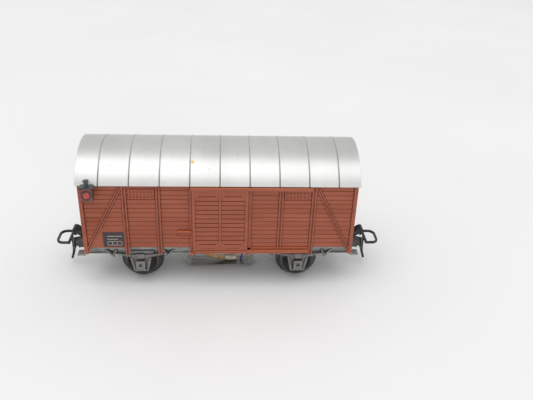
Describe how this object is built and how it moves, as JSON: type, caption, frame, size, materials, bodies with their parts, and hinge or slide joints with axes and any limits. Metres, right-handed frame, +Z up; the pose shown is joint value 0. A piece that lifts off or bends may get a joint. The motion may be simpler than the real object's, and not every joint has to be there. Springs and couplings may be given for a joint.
{
  "type": "model box car",
  "caption": "Model railway covered goods car with an arched silver roof, planked red-brown sides, sliding doors, tail lanterns and hook-and-loop couplers.",
  "frame": {"origin": "on the ground under the middle of the car, at the lowest point of the wheel flanges", "axes": "+X along the track towards the end without lanterns, +Y across the car away from the viewer's side, +Z up"},
  "size_m": [0.1146, 0.039, 0.0487],
  "materials": {
    "red_brown_body": "satin moulded plastic with printed-on weathering",
    "silver_roof": "satin silver paint",
    "grey_frame": "satin mid grey",
    "weight_steel": "plain rolled sheet",
    "load_floor_brown": "matt",
    "bearing_brass": "turned",
    "axle_steel": "turned and polished",
    "wheel_centre_black": "satin",
    "tyre_metal": "turned, blackened with a worn bright tread",
    "buffer_grey": "satin dark grey",
    "coupler_black": "blackened",
    "spring_bronze": "spring strip",
    "lantern_dark": "satin dark green grey",
    "lens_red": "clear red moulding",
    "clear_rod": "clear moulding",
    "bulb_glass": "clear glass",
    "socket_black": "satin",
    "insulator_brown": "pressed board",
    "screw_steel": "bright",
    "shoe_metal": "bright rubbed sheet",
    "block_cream": "satin",
    "wire_blue": "insulated wire",
    "label_dark": "printed dark grey"
  },
  "bodies": {
    "car": {"body_shell": "red_brown_body", "roof": "silver_roof", "underframe": "grey_frame", "weight_plate": "weight_steel", "load_floor": "load_floor_brown", "axle_guard_near_left": "grey_frame", "bearing_cup_near_left": "bearing_brass", "buffer_near_left": "buffer_grey", "axle_guard_near_right": "grey_frame", "bearing_cup_near_right": "bearing_brass", "buffer_near_right": "buffer_grey", "axle_guard_far_left": "grey_frame", "bearing_cup_far_left": "bearing_brass", "buffer_far_left": "buffer_grey", "axle_guard_far_right": "grey_frame", "bearing_cup_far_right": "bearing_brass", "buffer_far_right": "buffer_grey", "coupler_rivet_left": "screw_steel", "centring_spring_left": "spring_bronze", "coupler_rivet_right": "screw_steel", "centring_spring_right": "spring_bronze", "lamp_socket": "socket_black", "lamp_bulb": "bulb_glass", "light_rod": "clear_rod", "lantern_near": "lantern_dark", "lantern_lens_near": "lens_red", "label_board_near": "label_dark", "lantern_far": "lantern_dark", "lantern_lens_far": "lens_red", "label_board_far": "label_dark", "shoe_insulator": "insulator_brown", "shoe_screw": "screw_steel", "shoe_spring": "spring_bronze", "lamp_wire": "wire_blue", "shoe_wire": "wire_blue"},
    "wheelset_left": {"axle_left": "axle_steel", "wheel_centre_near_left": "wheel_centre_black", "tyre_near_left": "tyre_metal", "wheel_centre_far_left": "wheel_centre_black", "tyre_far_left": "tyre_metal"},
    "wheelset_right": {"axle_right": "axle_steel", "wheel_centre_near_right": "wheel_centre_black", "tyre_near_right": "tyre_metal", "wheel_centre_far_right": "wheel_centre_black", "tyre_far_right": "tyre_metal"},
    "coupler_left": {"drawbar_left": "coupler_black"},
    "loop_left": {"coupler_loop_left": "coupler_black", "loop_pin_left": "axle_steel"},
    "coupler_right": {"drawbar_right": "coupler_black"},
    "loop_right": {"coupler_loop_right": "coupler_black", "loop_pin_right": "axle_steel"},
    "shoe": {"contact_shoe": "shoe_metal", "shoe_block": "block_cream"},
    "door_near": {"door_near": "red_brown_body"},
    "door_far": {"door_far": "red_brown_body"}
  },
  "joints": [
    {"name": "wheelset_left_turn", "type": "hinge", "parent": "car", "child": "wheelset_left", "pos_m": [-0.02685, 0, 0.0073], "axis": [0, 1, 0], "continuous": true},
    {"name": "coupler_left_swing", "type": "hinge", "parent": "car", "child": "coupler_left", "pos_m": [-0.038, 0, 0.0115], "axis": [0, 0, 1], "range_deg": [-10, 10], "stiffness_Nm_per_rad": 0.0002},
    {"name": "loop_left_lift", "type": "hinge", "parent": "coupler_left", "child": "loop_left", "pos_m": [-0.0472, 0, 0.012], "axis": [0, 1, 0], "range_deg": [0, 30]},
    {"name": "wheelset_right_turn", "type": "hinge", "parent": "car", "child": "wheelset_right", "pos_m": [0.02685, 0, 0.0073], "axis": [0, 1, 0], "continuous": true},
    {"name": "coupler_right_swing", "type": "hinge", "parent": "car", "child": "coupler_right", "pos_m": [0.038, 0, 0.0115], "axis": [0, 0, 1], "range_deg": [-10, 10], "stiffness_Nm_per_rad": 0.0002},
    {"name": "loop_right_lift", "type": "hinge", "parent": "coupler_right", "child": "loop_right", "pos_m": [0.0472, 0, 0.012], "axis": [0, -1, 0], "range_deg": [0, 30]},
    {"name": "shoe_press", "type": "slide", "parent": "car", "child": "shoe", "axis": [0, 0, 1], "range_m": [0, 0.0015], "stiffness_N_per_m": 30, "springref_m": -0.002, "deforming": ["shoe_spring", "shoe_wire"]},
    {"name": "door_near_slide", "type": "slide", "parent": "car", "child": "door_near", "axis": [1, 0, 0], "range_m": [0, 0.0185]},
    {"name": "door_far_slide", "type": "slide", "parent": "car", "child": "door_far", "axis": [-1, 0, 0], "range_m": [0, 0.0185]}
  ]
}
